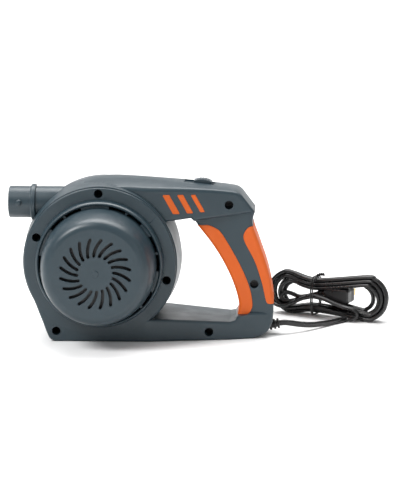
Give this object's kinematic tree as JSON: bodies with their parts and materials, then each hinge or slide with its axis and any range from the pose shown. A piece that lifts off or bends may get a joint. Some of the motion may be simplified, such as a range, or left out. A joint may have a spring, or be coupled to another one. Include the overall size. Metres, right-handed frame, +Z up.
{
  "type": "electric air mattress pump",
  "caption": "Hand-held electric air mattress pump with a drum casing, side outlet spigot, D-shaped grip and mains cord.",
  "frame": {"origin": "on the base plane and on the casing's parting plane, straight below the drum's axis", "axes": "-X along the outlet, +X to the handle, +Y out of the deflate port, +Z up, so the cooling cover faces -Y"},
  "size_m": [0.3639, 0.1895, 0.1517],
  "materials": {
    "casing_plastic": "fine moulded texture, satin",
    "orange_grip": "matte soft-touch rubber",
    "inner_plastic": "dark grey nylon",
    "steel": "zinc plated",
    "core_steel": "stacked laminations",
    "copper": "enamelled copper wire",
    "brass": "plain",
    "carbon": "dense graphite",
    "black_rubber": "matte",
    "black_plastic": "moulded",
    "cord_black": "smooth PVC with a soft gloss"
  },
  "bodies": {
    "casing": {"front_shell": "casing_plastic", "rear_shell": "casing_plastic", "motor_cover": "casing_plastic", "outlet_nozzle": "casing_plastic", "deflate_port": "casing_plastic", "intake_grille": "casing_plastic", "front_stripes": "orange_grip", "rear_stripes": "orange_grip", "front_finger_pad": "orange_grip", "rear_finger_pad": "orange_grip", "front_palm_pad": "orange_grip", "rear_palm_pad": "orange_grip", "casing_screws": "steel", "cover_screws": "steel", "fan_plate": "inner_plastic", "volute_housing": "inner_plastic", "plate_screws": "steel", "motor_dampers": "black_rubber", "mount_screws": "steel", "front_bracket": "steel", "rear_bracket": "steel", "motor_screws": "steel", "stator_core": "core_steel", "field_coils": "copper", "front_bearing": "steel", "rear_bearing": "steel", "brush_holders": "brass", "carbon_brushes": "carbon", "brush_springs": "steel", "switch_body": "black_plastic", "switch_terminals": "brass", "capacitor": "inner_plastic", "switch_leads": "cord_black", "motor_leads": "cord_black", "cord_clamp": "inner_plastic", "clamp_screws": "steel", "inner_cord": "cord_black", "strain_relief": "cord_black", "cord_lead": "cord_black", "cord_hank": "cord_black", "cord_tie": "cord_black", "plug_body": "cord_black", "plug_pins": "brass"},
    "rotor": {"motor_shaft": "steel", "armature_core": "core_steel", "armature_coils": "copper", "commutator": "copper", "cooling_fan": "black_plastic", "impeller": "inner_plastic", "impeller_nut": "steel"},
    "switch": {"switch_slider": "casing_plastic"}
  },
  "joints": [
    {"name": "rotor_spin", "type": "hinge", "parent": "casing", "child": "rotor", "pos_m": [0, 0, 0.075], "axis": [0, 1, 0], "continuous": true},
    {"name": "switch_slide", "type": "slide", "parent": "casing", "child": "switch", "axis": [-0.9968, 0, 0.0802], "range_m": [0, 0.007]}
  ]
}
